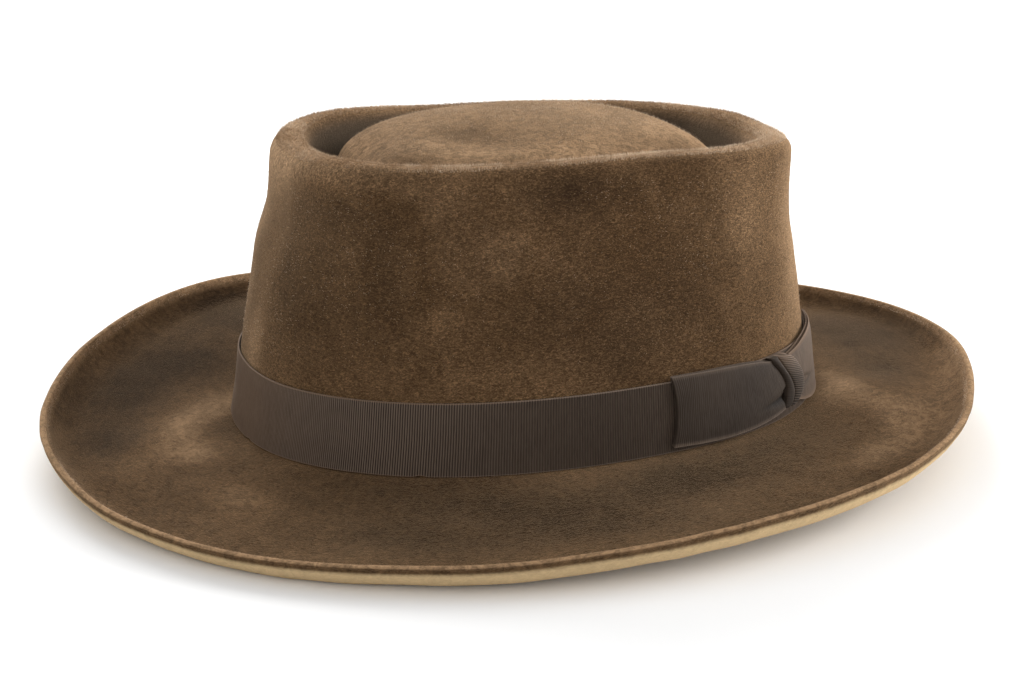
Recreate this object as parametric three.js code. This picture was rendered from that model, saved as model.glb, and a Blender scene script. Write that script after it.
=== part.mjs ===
// Brown velour felt hat: telescope crown, rolled brim, grosgrain ribbon with a flat bow.
// Millimetres, +Z up, z = 0 is the surface that the brim rests on.
// The wearer looks along -Y and the wearer's left is +X.
// An angle goes round the hat from the wearer's left (0) over the back (90) and the right (180) to the front.
import * as THREE from "three";

// Felt body, main sizes
const FELT = 2.2; // thickness of the felt wall
const BREAK_HEIGHT = 7.5; // brim break above the resting surface
const BREAK_WAVE = 1.7; // the break rises by this at the sides and falls by it at front and back
const BREAK_FILLET = 1.0; // small round between the wall and the brim
const CROWN_HEIGHT = 91; // rim of the crown above the break, on average
const ROLL_ANGLE = 75; // the brim's rolled edge ends this steep, in degrees
const SEGMENTS = 64; // steps round the hat

// Groove and dome of the telescope top
const GROOVE_DEPTH = 20; // floor of the groove below the rim
const GROOVE_RADIUS = 3.5; // round at the floor of the groove
const GROOVE_SLOPE = 1.0; // the groove's outer side leans in by this
const DOME_RISE = 6.2; // middle of the dome above the rim
const DOME_SHIFT = 2.4; // the dome sits this much nearer the front than the rim
const DOME_FULLNESS = 2.5; // how square the dome's section is
const DOME_SQUARENESS = 2.35; // how square the dome is in plan
const DOME_INSET = 18; // this far in from the wall, the outline has become the dome's
const DOME_DENT = { left: 27, back: -26, radius: 17, depth: 1.8 }; // shallow dent in the dome

// The crown's wall, a row for each height above the break
const CROWN_WALL = [
  { height: 0, halfLength: 102.9, halfWidth: 83.4, shiftBack: 0, squareness: 2.11 },
  { height: 11, halfLength: 101.0, halfWidth: 82.4, shiftBack: 0, squareness: 2.11 },
  { height: 23, halfLength: 99.3, halfWidth: 81.4, shiftBack: 0, squareness: 2.11 },
  { height: 36, halfLength: 96.8, halfWidth: 80.2, shiftBack: 0, squareness: 2.13 },
  { height: 50, halfLength: 93.8, halfWidth: 78.8, shiftBack: 0, squareness: 2.18 },
  { height: 62, halfLength: 91.0, halfWidth: 77.3, shiftBack: -0.1, squareness: 2.25 },
  { height: 74, halfLength: 87.7, halfWidth: 75.8, shiftBack: 1.0, squareness: 2.37 },
  { height: 90, halfLength: 86.0, halfWidth: 75.0, shiftBack: 1.4, squareness: 2.5 },
];

// The rim of the crown, a row for each direction: its height above the break, and the radius of its roll
const RIM = [
  { angle: 0, height: 94.5, radius: 3.6 },
  { angle: 45, height: 91.6, radius: 4.6 },
  { angle: 70, height: 89.9, radius: 6.4 },
  { angle: 90, height: 90.5, radius: 6.4 },
  { angle: 115, height: 89.0, radius: 5.2 },
  { angle: 150, height: 88.0, radius: 4.0 },
  { angle: 180, height: 88.7, radius: 3.8 },
  { angle: 220, height: 91.4, radius: 5.2 },
  { angle: 265, height: 90.2, radius: 8.2 },
  { angle: 315, height: 92.9, radius: 4.5 },
];

// The outline of the brim, seen from above
const BRIM_OUTLINE = { halfLength: 164.2, halfWidth: 147, shiftBack: -2.5, squareness: 1.95 };

// The brim, a row for each direction: how far it reaches past that outline, its underside's lowest line and
// its cut edge, above the resting surface. Where the lowest line would pass below, the felt lies flat.
const BRIM = [
  { angle: 0, reach: 0.5, trough: 4.3, edge: 14.0 },
  { angle: 30, reach: 1.4, trough: 6.2, edge: 17.0 },
  { angle: 60, reach: -4.9, trough: 9.6, edge: 20.0 },
  { angle: 90, reach: -3.5, trough: 8.3, edge: 16.0 },
  { angle: 120, reach: 0, trough: 1.6, edge: 11.0 },
  { angle: 150, reach: 0, trough: -0.8, edge: 8.8 },
  { angle: 180, reach: 0, trough: 4.3, edge: 14.3 },
  { angle: 210, reach: -2, trough: 12.8, edge: 22.8 },
  { angle: 240, reach: -4.8, trough: 9.4, edge: 19.9 },
  { angle: 270, reach: -1.8, trough: 3.8, edge: 12.4 },
  { angle: 300, reach: 1.0, trough: -0.8, edge: 7.4 },
  { angle: 330, reach: 0.3, trough: -0.3, edge: 8.4 },
];

// Soft folds that run out over the brim: direction at the crown, turn on the way out, half width, height
const BRIM_FOLDS = [
  { angle: 258, turn: 24, halfWidth: 11, height: 1.8 },
  { angle: 60, turn: -14, halfWidth: 9, height: 1.4 },
];

// The ribbon
const GAP = 0.3; // clearance between pieces
const RIBBON_WIDTH = 22;
const RIBBON_THICKNESS = 0.8;
const RIBBON_FOOT = 0.9; // lower selvedge above the break
const RIBBON_MIDDLE = 11; // the wall and the ribbon both have a ring of points at this height
const BOW_BED = GAP + RIBBON_THICKNESS + GAP; // underside of the bow off the felt
const BOW_EDGE = 0.6; // share of the bow's thickness that is left at its long edges

// The bow, a row for each direction: lower and upper edge above the break, how far its face stands off the
// felt, and how far its lower half leans back, in degrees
const FRONT_LOOP = [
  { angle: 7.2, low: 0.9, high: 22.9, face: 3.4, lean: 0 },
  { angle: 13, low: 0.6, high: 22.7, face: 4.0, lean: 0.2 },
  { angle: 19, low: 0.5, high: 22.3, face: 4.4, lean: 0.6 },
  { angle: 25, low: 0.6, high: 21.6, face: 4.5, lean: 1.2 },
  { angle: 30, low: 1.2, high: 20.6, face: 4.2, lean: 1.8 },
  { angle: 34, low: 2.4, high: 19.4, face: 3.4, lean: 2.4 },
];
const KNOT = [
  { angle: 34.3, low: 1.6, high: 20.0, face: 3.6, lean: 2.4 },
  { angle: 35.5, low: 1.0, high: 20.3, face: 4.6, lean: 2.6 },
  { angle: 36.9, low: 1.0, high: 20.5, face: 3.5, lean: 2.8 },
  { angle: 38.7, low: 1.0, high: 20.6, face: 4.8, lean: 3.0 },
  { angle: 41, low: 1.2, high: 20.6, face: 4.6, lean: 3.0 },
  { angle: 42.4, low: 1.8, high: 20.2, face: 3.4, lean: 3.0 },
];
const BACK_LOOP = [
  { angle: 42.7, low: 2.4, high: 19.8, face: 2.8, lean: 3.0 },
  { angle: 47, low: 1.2, high: 21.0, face: 3.2, lean: 2.4 },
  { angle: 52, low: 0.7, high: 22.0, face: 3.1, lean: 1.6 },
  { angle: 58, low: 0.6, high: 22.7, face: 2.9, lean: 0.8 },
  { angle: 64, low: 0.7, high: 22.9, face: 2.8, lean: 0.3 },
  { angle: 70, low: 0.9, high: 22.9, face: 2.7, lean: 0 },
];

const radians = THREE.MathUtils.degToRad;
const { lerp, smoothstep } = THREE.MathUtils;

// A smooth curve between two values of a table, led by the values before and after them
function cubic(before, from, to, after, share) {
  const leave = (to - before) / 2;
  const arrive = (after - from) / 2;
  const rest = 1 - share;
  const bend = share * rest * (rest * (leave - (to - from)) - share * (arrive - (to - from)));
  return lerp(from, to, share) + bend;
}

// A column of a table whose rows go up the crown
function wallColumn(height, column) {
  const last = CROWN_WALL.length - 1;
  let i = 0;
  while (i < last - 1 && height > CROWN_WALL[i + 1].height) i += 1;
  const at = (k) => CROWN_WALL[Math.min(Math.max(k, 0), last)][column];
  const share = (height - CROWN_WALL[i].height) / (CROWN_WALL[i + 1].height - CROWN_WALL[i].height);
  return cubic(at(i - 1), at(i), at(i + 1), at(i + 2), share);
}

// A column of a table whose rows go round the hat
function roundColumn(rows, angle, column) {
  const x = ((angle % 360) + 360) % 360;
  const count = rows.length;
  let i = 0;
  while (i < count - 1 && x >= rows[i + 1].angle) i += 1;
  const next = i + 1 < count ? rows[i + 1].angle : 360 + rows[0].angle;
  const at = (k) => rows[(k + count) % count][column];
  return cubic(at(i - 1), at(i), at(i + 1), at(i + 2), (x - rows[i].angle) / (next - rows[i].angle));
}

// A point of an oval in plan. Squareness 2 is an ellipse, and more is squarer.
function oval(shape, angle) {
  const c = Math.cos(radians(angle));
  const s = Math.sin(radians(angle));
  const n = shape.squareness;
  const r = (Math.abs(c) ** n + Math.abs(s) ** n) ** (-1 / n);
  return new THREE.Vector2(shape.halfWidth * r * c, shape.shiftBack + shape.halfLength * r * s);
}

function breakLine(angle) {
  return BREAK_HEIGHT + BREAK_WAVE * Math.cos(radians(2 * angle));
}

function wallShape(height, off = 0) {
  return {
    halfLength: wallColumn(height, "halfLength") + off,
    halfWidth: wallColumn(height, "halfWidth") + off,
    shiftBack: wallColumn(height, "shiftBack"),
    squareness: wallColumn(height, "squareness"),
  };
}

// A point of the crown's wall, at a height above the break and a distance off the felt
function wallPoint(angle, height, off = 0) {
  const p = oval(wallShape(height, off), angle);
  return new THREE.Vector3(p.x, p.y, breakLine(angle) + height);
}

// A point of the brim's upper side, at a distance out from the foot of the wall
function brimPoint(angle, out, z) {
  const inner = oval(wallShape(0), angle);
  const outer = oval(BRIM_OUTLINE, angle);
  const p = inner.clone().lerp(outer, out / inner.distanceTo(outer));
  return new THREE.Vector3(p.x, p.y, z);
}

// How the brim lies in one direction: the trough of its upper side, the radius of the rolled edge, and the
// distance out at which the roll begins
function brimSection(angle) {
  const trough = roundColumn(BRIM, angle, "trough") + FELT;
  const radius = (roundColumn(BRIM, angle, "edge") - trough) / (1 - Math.cos(radians(ROLL_ANGLE)));
  const width = oval(wallShape(0), angle).distanceTo(oval(BRIM_OUTLINE, angle));
  const reach = width + roundColumn(BRIM, angle, "reach");
  return { trough, radius, bend: reach - radius * Math.sin(radians(ROLL_ANGLE)) };
}

function foldLift(angle, share) {
  let lift = 0;
  for (const fold of BRIM_FOLDS) {
    const away = ((angle - fold.angle - fold.turn * share + 540) % 360) - 180;
    lift += fold.height * Math.exp(-((away / fold.halfWidth) ** 2)) * Math.sin(Math.PI * share);
  }
  return lift;
}

// Rings of the felt's upper side follow, from the cut edge of the brim to the middle of the dome.
// Each ring is a function that gives its point for an angle.
function brimRings() {
  const rings = [];
  for (const turn of [1, 0.8, 0.6, 0.4, 0.2]) {
    const a = radians(turn * ROLL_ANGLE);
    rings.push((angle) => {
      const s = brimSection(angle);
      return brimPoint(angle, s.bend + s.radius * Math.sin(a), s.trough + s.radius * (1 - Math.cos(a)));
    });
  }
  for (const share of [1, 0.84, 0.66, 0.46, 0.26, 0.1]) {
    rings.push((angle) => {
      const s = brimSection(angle);
      const z = lerp(s.trough, breakLine(angle), (1 - share) ** 2) + foldLift(angle, share);
      return brimPoint(angle, lerp(BREAK_FILLET, s.bend, share), z);
    });
  }
  for (const turn of [0, 45]) {
    const a = radians(turn);
    rings.push((angle) => {
      const z = breakLine(angle) + BREAK_FILLET * (1 - Math.cos(a));
      return brimPoint(angle, BREAK_FILLET * (1 - Math.sin(a)), z);
    });
  }
  return rings;
}

function wallRings() {
  const heights = [BREAK_FILLET, RIBBON_MIDDLE, 23, 34, 45, 56, 66, 75];
  return heights.map((height) => (angle) => wallPoint(angle, height));
}

// A point of the crown's top, at a distance in from the wall and below the rim
function topPoint(angle, inset, drop) {
  const inward = smoothstep(inset, 0, DOME_INSET);
  const shape = wallShape(CROWN_HEIGHT, -inset);
  shape.squareness = lerp(shape.squareness, DOME_SQUARENESS, inward);
  const p = oval(shape, angle);
  const z = BREAK_HEIGHT + roundColumn(RIM, angle, "height") - drop;
  return new THREE.Vector3(p.x, p.y - DOME_SHIFT * inward, z);
}

function domePoint(angle, share) {
  const inset = 2 * roundColumn(RIM, angle, "radius") + GROOVE_SLOPE + 2 * GROOVE_RADIUS;
  const foot = topPoint(angle, inset, GROOVE_DEPTH - GROOVE_RADIUS);
  const back = wallShape(CROWN_HEIGHT).shiftBack - DOME_SHIFT;
  const middle = new THREE.Vector3(0, back, BREAK_HEIGHT + CROWN_HEIGHT + DOME_RISE);
  const rise = (1 - share ** DOME_FULLNESS) ** (1 / DOME_FULLNESS);
  const p = new THREE.Vector3().lerpVectors(middle, foot, share);
  p.z = lerp(foot.z, middle.z, rise);
  const away = Math.hypot(p.x - DOME_DENT.left, p.y - DOME_DENT.back) / DOME_DENT.radius;
  p.z -= DOME_DENT.depth * Math.exp(-(away ** 2));
  return p;
}

function topRings() {
  const rings = [];
  for (const turn of [0, 36, 72, 108, 144, 180]) {
    const a = radians(turn);
    rings.push((angle) => {
      const radius = roundColumn(RIM, angle, "radius");
      return topPoint(angle, radius * (1 - Math.cos(a)), radius * (1 - Math.sin(a)));
    });
  }
  for (const turn of [0, 45, 90, 135]) {
    const a = radians(turn);
    rings.push((angle) => {
      const side = 2 * roundColumn(RIM, angle, "radius") + GROOVE_SLOPE;
      const drop = GROOVE_DEPTH - GROOVE_RADIUS * (1 - Math.sin(a));
      return topPoint(angle, side + GROOVE_RADIUS * (1 - Math.cos(a)), drop);
    });
  }
  for (const share of [1, 0.985, 0.95, 0.88, 0.76, 0.6, 0.42, 0.22, 0]) {
    rings.push((angle) => domePoint(angle, share));
  }
  return rings;
}

// Triangles between rings of points that each go once round
function ringFaces(count, around, first, flip) {
  const faces = [];
  for (let i = 0; i < count - 1; i += 1) {
    for (let j = 0; j < around; j += 1) {
      const a = first + i * around + j;
      const b = first + i * around + ((j + 1) % around);
      const c = a + around;
      const d = b + around;
      faces.push(...(flip ? [a, c, b, b, c, d] : [a, b, c, b, d, c]));
    }
  }
  return faces;
}

function solid(points, faces) {
  const geometry = new THREE.BufferGeometry().setFromPoints(points);
  geometry.setIndex(faces);
  geometry.computeVertexNormals();
  return geometry;
}

// The felt: its upper side, and a lower side one thickness below it that goes no lower than the surface
function feltGeometry() {
  const rings = [...brimRings(), ...wallRings(), ...topRings()];
  const at = (i, j) => rings[i]((360 * j) / SEGMENTS);
  const upper = [];
  const lower = [];
  for (let i = 0; i < rings.length - 1; i += 1) {
    for (let j = 0; j < SEGMENTS; j += 1) {
      const p = at(i, j);
      const round = at(i, j + 1).sub(at(i, j - 1));
      const along = at(i + 1, j).sub(at(Math.max(i - 1, 0), j));
      const q = p.clone().addScaledVector(round.cross(along).normalize(), -FELT);
      q.z = Math.max(q.z, 0);
      upper.push(p);
      lower.push(q);
    }
  }
  const middle = at(rings.length - 1, 0);
  const points = [...upper, ...lower, middle, middle.clone().setZ(middle.z - FELT)];
  const side = upper.length;
  const last = side - SEGMENTS;
  const faces = [
    ...ringFaces(rings.length - 1, SEGMENTS, 0, false),
    ...ringFaces(rings.length - 1, SEGMENTS, side, true),
  ];
  for (let j = 0; j < SEGMENTS; j += 1) {
    const next = (j + 1) % SEGMENTS;
    faces.push(last + j, last + next, 2 * side);
    faces.push(side + last + next, side + last + j, 2 * side + 1);
    faces.push(next, j, side + j);
    faces.push(next, side + j, side + next);
  }
  return solid(points, faces);
}

// A closed loop of ribbon that lies round the foot of the wall
function bandGeometry() {
  const heights = [RIBBON_FOOT, RIBBON_MIDDLE, RIBBON_FOOT + RIBBON_WIDTH];
  const section = [
    ...heights.map((height) => ({ height, off: GAP + RIBBON_THICKNESS })),
    ...heights.toReversed().map((height) => ({ height, off: GAP })),
  ];
  const points = [];
  for (const { height, off } of section) {
    for (let j = 0; j < SEGMENTS; j += 1) points.push(wallPoint((360 * j) / SEGMENTS, height, off));
  }
  const faces = ringFaces(section.length + 1, SEGMENTS, 0, false);
  return solid(points, faces.map((k) => k % points.length));
}

// A piece of the bow: a slab that lies on the ribbon, built from its front end to its back end
function bowGeometry(table) {
  const shares = [0, 0.12, 0.37, 0.63, 0.88, 1];
  const points = [];
  for (const row of table) {
    const at = (share, off) => {
      const height = lerp(row.low, row.high, share);
      return wallPoint(row.angle + row.lean * (1 - height / RIBBON_MIDDLE), height, off);
    };
    for (const share of shares) {
      const onEdge = share === 0 || share === 1;
      points.push(at(share, onEdge ? lerp(BOW_BED, row.face, BOW_EDGE) : row.face));
    }
    for (const share of shares.toReversed()) points.push(at(share, BOW_BED));
  }
  const around = 2 * shares.length;
  const faces = ringFaces(table.length, around, 0, true);
  const end = points.length - around;
  for (let k = 0; k < shares.length - 1; k += 1) {
    const [a, b, c, d] = [k, k + 1, around - 1 - k, around - 2 - k];
    faces.push(a, b, c, b, d, c);
    faces.push(end + a, end + c, end + b, end + b, end + c, end + d);
  }
  return solid(points, faces);
}

function felt() {
  return new THREE.MeshStandardMaterial({ color: 0x5a4530, roughness: 0.95, metalness: 0 });
}

function grosgrain() {
  return new THREE.MeshStandardMaterial({ color: 0x3c322d, roughness: 0.7, metalness: 0 });
}

function piece(name, geometry, material) {
  const mesh = new THREE.Mesh(geometry, material);
  mesh.name = name;
  return mesh;
}

const hat = new THREE.Group();
hat.add(piece("felt_body", feltGeometry(), felt()));
hat.add(piece("ribbon_band", bandGeometry(), grosgrain()));
hat.add(piece("bow_front_loop", bowGeometry(FRONT_LOOP), grosgrain()));
hat.add(piece("bow_knot", bowGeometry(KNOT), grosgrain()));
hat.add(piece("bow_back_loop", bowGeometry(BACK_LOOP), grosgrain()));

// The origin is in the middle of the hat's plan, on the surface
const middle = new THREE.Box3().setFromObject(hat).getCenter(new THREE.Vector3());
hat.position.set(-middle.x, -middle.y, 0);

export default hat;
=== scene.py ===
"""Brown velour felt hat with a telescope crown, a rolled brim and a grosgrain ribbon with a flat side bow."""

import math
import random

import bmesh
import bpy
from bpy.props import FloatProperty, FloatVectorProperty, IntProperty, PointerProperty
from mathutils import Matrix, Vector, noise


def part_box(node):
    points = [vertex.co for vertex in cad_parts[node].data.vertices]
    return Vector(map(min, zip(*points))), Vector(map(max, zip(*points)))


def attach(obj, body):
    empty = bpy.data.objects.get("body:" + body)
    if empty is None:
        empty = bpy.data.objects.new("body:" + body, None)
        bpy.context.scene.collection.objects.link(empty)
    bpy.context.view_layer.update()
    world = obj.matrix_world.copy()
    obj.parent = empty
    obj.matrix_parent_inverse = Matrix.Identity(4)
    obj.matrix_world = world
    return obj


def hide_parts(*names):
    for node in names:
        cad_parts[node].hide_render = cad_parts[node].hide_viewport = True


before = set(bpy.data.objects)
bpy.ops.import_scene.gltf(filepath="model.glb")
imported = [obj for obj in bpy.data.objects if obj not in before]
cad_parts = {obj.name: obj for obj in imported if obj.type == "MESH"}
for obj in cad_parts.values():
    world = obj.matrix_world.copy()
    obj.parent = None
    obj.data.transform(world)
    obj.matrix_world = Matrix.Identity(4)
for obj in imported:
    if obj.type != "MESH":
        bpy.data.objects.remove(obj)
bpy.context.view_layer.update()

bl_info = {
    "name": "Velour felt hat",
    "version": (1, 0, 0),
    "blender": (4, 5, 0),
    "location": "View3D > Sidebar > Hat",
    "description": "Builds a velour felt hat with a grosgrain ribbon and a flat bow",
    "category": "Add Mesh",
}

# Shapes are worked out in millimetres about the crown's axis, and an angle goes round the hat from the
# wearer's left (0) over the back (90) and the right (180) to the front.
MM = 0.001
RIBBON_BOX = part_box("ribbon_band")
AXIS = (RIBBON_BOX[0] + RIBBON_BOX[1]) / 2  # the ribbon goes evenly round the crown's axis

# Felt body, as the CAD solid has it
BREAK_HEIGHT = 7.5
BREAK_WAVE = 1.7
BREAK_FILLET = 1.0
CROWN_HEIGHT = 91
ROLL_ANGLE = 75
GROOVE_DEPTH = 20
GROOVE_RADIUS = 3.5
GROOVE_SLOPE = 1.0
DOME_RISE = 6.2
DOME_SHIFT = 2.4
DOME_FULLNESS = 2.5
DOME_SQUARENESS = 2.35
DOME_INSET = 18
DOME_DENT = {"left": 27, "back": -26, "radius": 17, "depth": 1.8}

# The crown's wall, a row for each height above the break
WALL_COLUMNS = ("height", "half_length", "half_width", "shift_back", "squareness")
CROWN_WALL = [
    (0, 102.9, 83.4, 0, 2.11),
    (11, 101.0, 82.4, 0, 2.11),
    (23, 99.3, 81.4, 0, 2.11),
    (36, 96.8, 80.2, 0, 2.13),
    (50, 93.8, 78.8, 0, 2.18),
    (62, 91.0, 77.3, -0.1, 2.25),
    (74, 87.7, 75.8, 1.0, 2.37),
    (90, 86.0, 75.0, 1.4, 2.5),
]
STRETCH_HEIGHT = 56  # above this height the wall's rows stretch to meet the rim

# The rim of the crown, a row for each direction
RIM_COLUMNS = ("angle", "height", "radius")
RIM = [
    (0, 94.5, 3.6),
    (45, 91.6, 4.6),
    (70, 89.9, 6.4),
    (90, 90.5, 6.4),
    (115, 89.0, 5.2),
    (150, 88.0, 4.0),
    (180, 88.7, 3.8),
    (220, 91.4, 5.2),
    (265, 90.2, 8.2),
    (315, 92.9, 4.5),
]

# The brim: the outline from above, how far it reaches past that, its lowest line and its cut edge
BRIM_OUTLINE = {"half_length": 164.2, "half_width": 147, "shift_back": -2.5, "squareness": 1.95}
BRIM_COLUMNS = ("angle", "reach", "trough", "edge")
BRIM = [
    (0, 0.5, 4.3, 14.0),
    (30, 1.4, 6.2, 17.0),
    (60, -4.9, 9.6, 20.0),
    (90, -3.5, 8.3, 16.0),
    (120, 0, 1.6, 11.0),
    (150, 0, -0.8, 8.8),
    (180, 0, 4.3, 14.3),
    (210, -2, 12.8, 22.8),
    (240, -4.8, 9.4, 19.9),
    (270, -1.8, 3.8, 12.4),
    (300, 1.0, -0.8, 7.4),
    (330, 0.3, -0.3, 8.4),
]
BRIM_FOLDS = [
    {"angle": 258, "turn": 24, "half_width": 11, "height": 1.8},
    {"angle": 60, "turn": -14, "half_width": 9, "height": 1.4},
]

# Rings of the felt from its cut edge over the brim, the fillet at the wall's foot (each by its turn in
# degrees), the wall, the rim and the groove to the dome, and how much of the swells the rim and groove show
EDGE_RINGS = 8
ROLL_RINGS = 16
BRIM_RINGS = 20
FILLET_TURNS = (0, 22, 45, 67)
WALL_RINGS = 30
RIM_RINGS = 12
GROOVE_SIDE_RINGS = 5
GROOVE_FLOOR_RINGS = 8
DOME_RINGS = 24
RIM_FREE = 0.6
GROOVE_FREE = 0.3

# Below the cut edge, by the distance in from it: a painted shadow line that dips in, and where the painted
# bounce light of the tan underside begins
CUT_SHADOW_LINE = {"inward": 0.5, "half_width": 0.9}
UNDERSIDE_LIGHT_RAMP = {"start": 0.8, "full": 2.0}

# Where the noise is read for the felt's wide swells and its small ones
SWELL_PLACE = Vector((3.1, 7.7, 1.3))
RIPPLE_PLACE = Vector((9.4, 2.6, 5.8))

# The ribbon: its middle above the break, how far the band and the bow lie off the felt, and steps to a rib
RIBBON_MIDDLE = 11
BAND_BED = 0.3
BOW_BED = 1.4
RIB_STEPS = 4

# The band: nicks in its lower edge, and stretches where painted light and shade make it lighter or darker
BAND_NICKS = [
    {"angle": 277, "lift": 0.5, "half_width": 1.0},
    {"angle": 322, "lift": 0.5, "half_width": 0.9},
]
BAND_PAINTED_LIGHT = [
    {"angle": 268, "lift": 0.4, "half_width": 26},
    {"angle": 356, "lift": -0.42, "half_width": 28},
]

# The bow, a row for each direction: lower and upper edge, how far its face stands off the felt, its lean
BOW_COLUMNS = ("angle", "low", "high", "face", "lean")
FRONT_LOOP = [
    (6.9, 2.2, 24.7, 2.7, 0),
    (13, 1.8, 24.6, 3.0, 0.1),
    (19, 1.7, 24.4, 3.3, 0.3),
    (25, 2.2, 23.9, 3.5, 0.9),
    (30, 3.1, 23.0, 3.5, 1.6),
    (34, 4.2, 21.9, 3.4, 2.4),
    (37, 5.0, 21.0, 3.1, 3.2),
]
BACK_LOOP = [
    (40, 4.8, 21.6, 3.0, 1.0),
    (44, 3.2, 22.6, 3.3, 1.0),
    (49, 1.9, 24.0, 3.3, 0.8),
    (55, 1.3, 24.8, 3.1, 0.5),
    (62, 1.2, 24.8, 2.9, 0.2),
    (70, 1.2, 24.4, 2.7, 0),
]

# The gather that the knot presses into each loop: how far from the knot it reaches, its height and slope,
# its half width and its depth, where painted shade also darkens it. How much painted light each loop has.
FRONT_GATHER = {"reach": 21, "height": 8.4, "slope": -0.06, "half_width": 1.9, "depth": 1.3}
BACK_GATHER = {"reach": 22, "height": 9.5, "slope": 0, "half_width": 2.2, "depth": 1.6}
FRONT_LOOP_PAINTED_LIGHT = 0.42
BACK_LOOP_PAINTED_LIGHT = 1.05

# The strip round the middle of the bow, a row for each height: a narrow fold from its start to the crease,
# and a wide ribbed face from there to its end
KNOT_COLUMNS = ("height", "start", "crease", "end")
KNOT = [
    (4.3, 35.2, 37.0, 38.2),
    (5.5, 35.6, 38.2, 40.6),
    (8.0, 36.2, 39.4, 43.4),
    (11.0, 36.4, 39.3, 44.8),
    (14.5, 35.5, 38.0, 44.0),
    (18.0, 33.8, 36.1, 42.0),
    (21.0, 32.0, 34.5, 39.6),
    (23.0, 31.4, 33.6, 36.6),
]

# Patches of brushed nap and of painted light and shade, a row for each: the angle, radius and height of its
# middle, how far it reaches along its length and across it, its length's turn from round the hat to outward,
# and its lift, lighter above 0 and darker below
BRUSHED_AND_PAINTED_LIGHT = [
    (325, 103, 5, 40, 14, 0, -0.65),
    (345, 122, 5, 40, 12, 0, -0.4),
    (319, 126, 3, 26, 10, 0, -0.45),
    (8, 100, 8, 36, 14, 0, -0.8),
    (33, 98, 9, 26, 14, 0, -0.35),
    (345, 137, 5, 40, 9, 0, 0.35),
    (293, 126, 3, 14, 9, 0, 0.45),
    (260, 112, 8, 28, 9, 33, 0.6),
    (271, 127, 7, 26, 13, 33, 0.3),
    (268, 104, 6, 12, 8, 33, -0.5),
    (240, 122, 10, 16, 13, 0, -0.8),
    (250, 140, 10, 26, 12, 30, -1.0),
    (256, 134, 9, 12, 9, 30, -0.6),
    (269, 139, 6, 14, 9, 30, -0.5),
    (236, 140, 14, 26, 12, 0, -0.4),
    (217, 126, 13, 22, 16, 0, -1.0),
    (266, 147, 7, 18, 10, 15, -0.6),
    (213, 140, 16, 24, 14, 0, -0.5),
    (277, 122, 6, 10, 7, 30, 0.45),
    (62, 112, 10, 26, 7, -18, 0.8),
    (53, 107, 9, 13, 7, -14, 0.35),
    (88, 136, 10, 30, 16, 0, -1.4),
    (66, 126, 11, 20, 13, 0, -0.9),
    (60, 108, 8, 8, 7, 0, 0.4),
    (52, 137, 12, 36, 18, 0, 0.45),
    (32, 129, 9, 14, 9, 0, 0.4),
    (309, 88, 71, 9, 24, 0, -0.4),
    (348, 82, 62, 14, 14, 0, -0.3),
    (356, 84, 42, 14, 12, 0, -0.35),
    (281, 94, 62, 8, 22, 0, -0.25),
    (295, 86, 87, 22, 8, 0, -0.3),
    (292, 92, 60, 20, 30, 0, -0.35),
    (318, 85, 80, 22, 22, 0, 0.15),
    (332, 82, 72, 8, 12, 0, 0.2),
    (345, 78, 92, 18, 8, 0, -0.45),
    (352, 77, 94, 18, 6, 0, -0.3),
    (62, 88, 70, 16, 50, 0, 0.8),
    (254, 92, 72, 12, 40, 0, 0.4),
    (32, 82, 80, 10, 22, 0, 0.2),
    (70, 152, 14, 20, 8, 0, 0.5),
    (238, 157, 16, 22, 6, 0, 0.3),
    (40, 131, 10, 26, 12, 0, 0.2),
    (271, 98, 36, 9, 12, 0, 0.4),
    (10, 80, 55, 20, 16, 0, -0.35),
    (336, 84, 56, 16, 12, 0, -0.2),
    (300, 85, 95, 26, 7, 0, 0.4),
    (266, 82, 95, 20, 12, 0, 0.75),
    (300, 46, 100, 18, 8, 0, 0.3),
    (345, 47, 99, 34, 7, 0, 0.4),
    (265, 50, 98, 22, 13, 0, 0.35),
    (22, 42, 101, 28, 11, 0, 0.3),
    (303, 34, 102, 12, 8, 0, -0.5),
    (192, 72, 96, 24, 5, 0, 0.6),
    (128, 81, 95, 28, 5, 0, 0.6),
]
NAP_AND_LIGHT_LIMITS = (-1.1, 1)
# Painted shade over the whole upper brim, and painted light over the dome
BRIM_PAINTED_SHADE = -0.2
DOME_PAINTED_LIGHT = 0.3

# How much the nap's fine tips and its tufts show on each part of the felt, and on every part alike
FINE_TIPS = {"wall": 1, "brim": 0.25, "dome": 0.2, "every part": 0.06}
TUFTS = {"wall": 0.15, "brim": 0.8, "dome": 1, "every part": 0.1}

# Loose fibres of the nap, a row for each part of the felt: how many, the longest in millimetres, and from
# which share of the way over the part to which they grow. The shortest is a share of the longest.
FIBRES = [
    ("rim", 22000, 1.5, 0.27, 0.75),
    ("wall", 9000, 0.9, 0.35, 0.97),
    ("dome", 6000, 1.0, 0.3, 0.98),
    ("edge", 9000, 1.0, 0.82, 0.97),
]
SHORTEST_FIBRE = 0.35
FIBRE_SEED = 8

# The camera stands where the photograph was taken from, seen from the crown's axis at the floor
CAMERA_PLACE = Vector((484.143, -215.553, 193.429))
CAMERA_AIM = Vector((-2.07, -4.77, 23.24))
CAMERA_ROLL = -0.27
CAMERA_LENS = 55.594
BACK_LIGHT = {"place": Vector((-1.8, 0.2, 0.9)), "size": 1.8}
RIGHT_LIGHT = {"place": Vector((0.4, 1.7, 0.45)), "size": 1.2}
LIGHTS_AIM = Vector((0, 0, 0.05))


def lerp(a, b, share):
    return a + (b - a) * share


def smooth(low, high, x):
    """0 below low, 1 above high, and a soft step between them."""
    t = min(max((x - low) / (high - low), 0), 1)
    return t * t * (3 - 2 * t)


def bell(x, half_width):
    return math.exp(-((x / half_width) ** 2))


def angle_past(angle, other):
    """How far an angle is past another one, the short way round."""
    return (angle - other + 180) % 360 - 180


# Curves through the tables


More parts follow.
